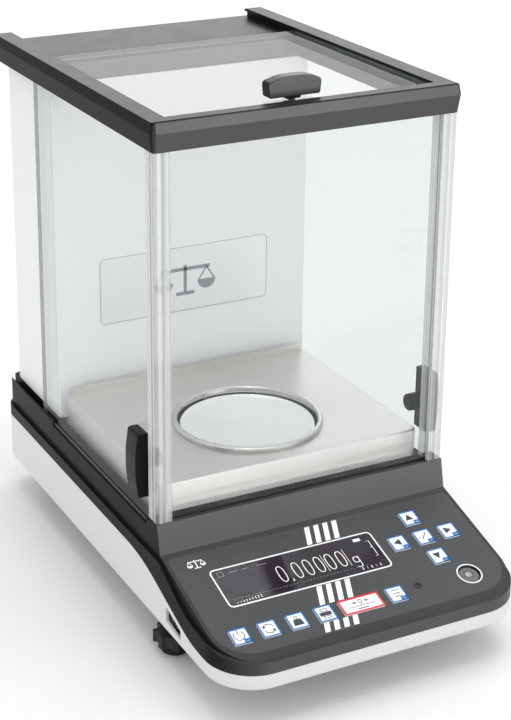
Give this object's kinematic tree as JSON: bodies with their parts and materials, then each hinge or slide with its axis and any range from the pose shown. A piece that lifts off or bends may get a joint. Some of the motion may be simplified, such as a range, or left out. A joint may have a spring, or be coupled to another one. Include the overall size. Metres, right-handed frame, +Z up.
{
  "type": "analytical balance",
  "caption": "Laboratory balance with a sloping control panel and a glass draft shield whose top and side doors slide back over a round steel pan.",
  "frame": {"origin": "on the table, below the middle of the balance", "axes": "+X to the balance's right as seen from the front, +Y to its back (the panel faces -Y), +Z up"},
  "size_m": [0.2214, 0.367, 0.3568],
  "materials": {
    "white_housing": "satin white moulding",
    "dark_housing": "fine textured black moulding",
    "base_metal": "cast and milled",
    "screw_steel": "zinc plated",
    "foot_plastic": "black moulding",
    "foot_rubber": "matt rubber",
    "foil": "printed foil",
    "key": "embossed foil key, white",
    "display": "dark display window",
    "electronics": "green board with parts",
    "vial": "spirit level with bubble",
    "sensor_lens": "dark lens",
    "socket": "black socket",
    "socket_metal": "plated socket shell",
    "cell_metal": "milled",
    "coil_copper": "enamelled copper wire",
    "magnet_iron": "plated iron",
    "stainless": "brushed stainless steel",
    "pan_steel": "polished stainless steel",
    "column_paint": "white satin paint",
    "nameplate": "satin silver plate",
    "post_clear": "clear plastic",
    "pane": "clear float glass",
    "grip_plastic": "black moulding",
    "print": "printed marks"
  },
  "bodies": {
    "root": {"lower_housing": "white_housing", "upper_housing": "dark_housing", "base_plate": "base_metal", "base_screws": "screw_steel", "rear_feet": "foot_rubber", "panel_foil": "foil", "display_window": "display", "display_module": "electronics", "level_vial": "vial", "motion_sensor": "sensor_lens", "main_board": "electronics", "keypad_board": "electronics", "power_inlet": "socket", "serial_port": "socket_metal", "side_port": "socket", "cell_block": "cell_metal", "magnet_housing": "magnet_iron", "position_sensor": "socket", "lifter_motor": "magnet_iron", "floor_tray": "stainless", "rear_column": "column_paint", "rear_wall": "column_paint", "nameplate": "nameplate", "post_left": "post_clear", "post_right": "post_clear", "front_glass": "pane", "roof_frame": "dark_housing", "door_tracks": "dark_housing"},
    "top_door": {"top_door_glass": "pane", "top_door_grip": "grip_plastic", "top_door_knob": "grip_plastic"},
    "left_door": {"left_door_glass": "pane", "left_door_grip": "grip_plastic", "left_door_knob": "grip_plastic"},
    "right_door": {"right_door_glass": "pane", "right_door_grip": "grip_plastic", "right_door_knob": "grip_plastic"},
    "load": {"load_carrier": "cell_metal"},
    "lever": {"cell_lever": "cell_metal", "voice_coil": "coil_copper"},
    "pan": {"weighing_pan": "pan_steel", "pan_support": "cell_metal"},
    "ring": {"draft_ring": "stainless"},
    "lifter": {"weight_lifter": "cell_metal", "calibration_weight": "pan_steel"},
    "pad_left": {"foot_pad_left": "foot_rubber"},
    "pad_right": {"foot_pad_right": "foot_rubber"},
    "knob_left": {"levelling_foot_left": "foot_plastic"},
    "knob_right": {"levelling_foot_right": "foot_plastic"},
    "power_key": {"power_key": "key"},
    "range_key": {"range_key": "key"},
    "calibrate_key": {"calibrate_key": "key"},
    "print_key": {"print_key": "key"},
    "tare_key": {"tare_key": "key"},
    "menu_key": {"menu_key": "key"},
    "up_key": {"up_key": "key"},
    "left_key": {"left_key": "key"},
    "ok_key": {"ok_key": "key"},
    "right_key": {"right_key": "key"},
    "down_key": {"down_key": "key"}
  },
  "joints": [
    {"name": "top_door_slide", "type": "slide", "parent": "root", "child": "top_door", "axis": [0, 1, 0], "range_m": [0, 0.145]},
    {"name": "left_door_slide", "type": "slide", "parent": "root", "child": "left_door", "axis": [0, 1, 0], "range_m": [0, 0.145]},
    {"name": "right_door_slide", "type": "slide", "parent": "root", "child": "right_door", "axis": [0, 1, 0], "range_m": [0, 0.145]},
    {"name": "power_key_press", "type": "slide", "parent": "root", "child": "power_key", "axis": [0, 0.279, -0.9603], "range_m": [0, 0.0004], "stiffness_N_per_m": 3000},
    {"name": "range_key_press", "type": "slide", "parent": "root", "child": "range_key", "axis": [0, 0.279, -0.9603], "range_m": [0, 0.0004], "stiffness_N_per_m": 3000},
    {"name": "calibrate_key_press", "type": "slide", "parent": "root", "child": "calibrate_key", "axis": [0, 0.279, -0.9603], "range_m": [0, 0.0004], "stiffness_N_per_m": 3000},
    {"name": "print_key_press", "type": "slide", "parent": "root", "child": "print_key", "axis": [0, 0.279, -0.9603], "range_m": [0, 0.0004], "stiffness_N_per_m": 3000},
    {"name": "tare_key_press", "type": "slide", "parent": "root", "child": "tare_key", "axis": [0, 0.279, -0.9603], "range_m": [0, 0.0004], "stiffness_N_per_m": 3000},
    {"name": "menu_key_press", "type": "slide", "parent": "root", "child": "menu_key", "axis": [0, 0.279, -0.9603], "range_m": [0, 0.0004], "stiffness_N_per_m": 3000},
    {"name": "up_key_press", "type": "slide", "parent": "root", "child": "up_key", "axis": [0, 0.279, -0.9603], "range_m": [0, 0.0004], "stiffness_N_per_m": 3000},
    {"name": "left_key_press", "type": "slide", "parent": "root", "child": "left_key", "axis": [0, 0.279, -0.9603], "range_m": [0, 0.0004], "stiffness_N_per_m": 3000},
    {"name": "ok_key_press", "type": "slide", "parent": "root", "child": "ok_key", "axis": [0, 0.279, -0.9603], "range_m": [0, 0.0004], "stiffness_N_per_m": 3000},
    {"name": "right_key_press", "type": "slide", "parent": "root", "child": "right_key", "axis": [0, 0.279, -0.9603], "range_m": [0, 0.0004], "stiffness_N_per_m": 3000},
    {"name": "down_key_press", "type": "slide", "parent": "root", "child": "down_key", "axis": [0, 0.279, -0.9603], "range_m": [0, 0.0004], "stiffness_N_per_m": 3000},
    {"name": "load_travel", "type": "slide", "parent": "root", "child": "load", "axis": [0, 0, 1], "range_m": [-0.0003, 0], "stiffness_N_per_m": 20000, "springref_m": 0.0003},
    {"name": "lever_tilt", "type": "hinge", "parent": "root", "child": "lever", "pos_m": [0, 0.06, 0.063], "axis": [1, 0, 0], "range_deg": [-0.1, 1.5]},
    {"name": "pan_lift", "type": "slide", "parent": "load", "child": "pan", "axis": [0, 0, 1], "range_m": [0, 0.06]},
    {"name": "ring_lift", "type": "slide", "parent": "root", "child": "ring", "axis": [0, 0, 1], "range_m": [0, 0.04]},
    {"name": "weight_lowering", "type": "slide", "parent": "root", "child": "lifter", "axis": [0, 0, 1], "range_m": [-0.003, 0]},
    {"name": "foot_left_height", "type": "slide", "parent": "root", "child": "pad_left", "axis": [0, 0, 1], "range_m": [-0.0025, 0.0025]},
    {"name": "foot_left_turn", "type": "hinge", "parent": "pad_left", "child": "knob_left", "pos_m": [-0.092, -0.083, 0.01], "axis": [0, 0, 1], "range_deg": [-720, 720]},
    {"name": "foot_right_height", "type": "slide", "parent": "root", "child": "pad_right", "axis": [0, 0, 1], "range_m": [-0.0025, 0.0025]},
    {"name": "foot_right_turn", "type": "hinge", "parent": "pad_right", "child": "knob_right", "pos_m": [0.092, -0.083, 0.01], "axis": [0, 0, 1], "range_deg": [-720, 720]}
  ],
  "couplings": [
    {"joint": "lever_tilt", "follows": "load_travel", "rad_per_m": -80},
    {"joint": "foot_left_turn", "follows": "foot_left_height", "rad_per_m": 5026.5},
    {"joint": "foot_right_turn", "follows": "foot_right_height", "rad_per_m": 5026.5}
  ]
}
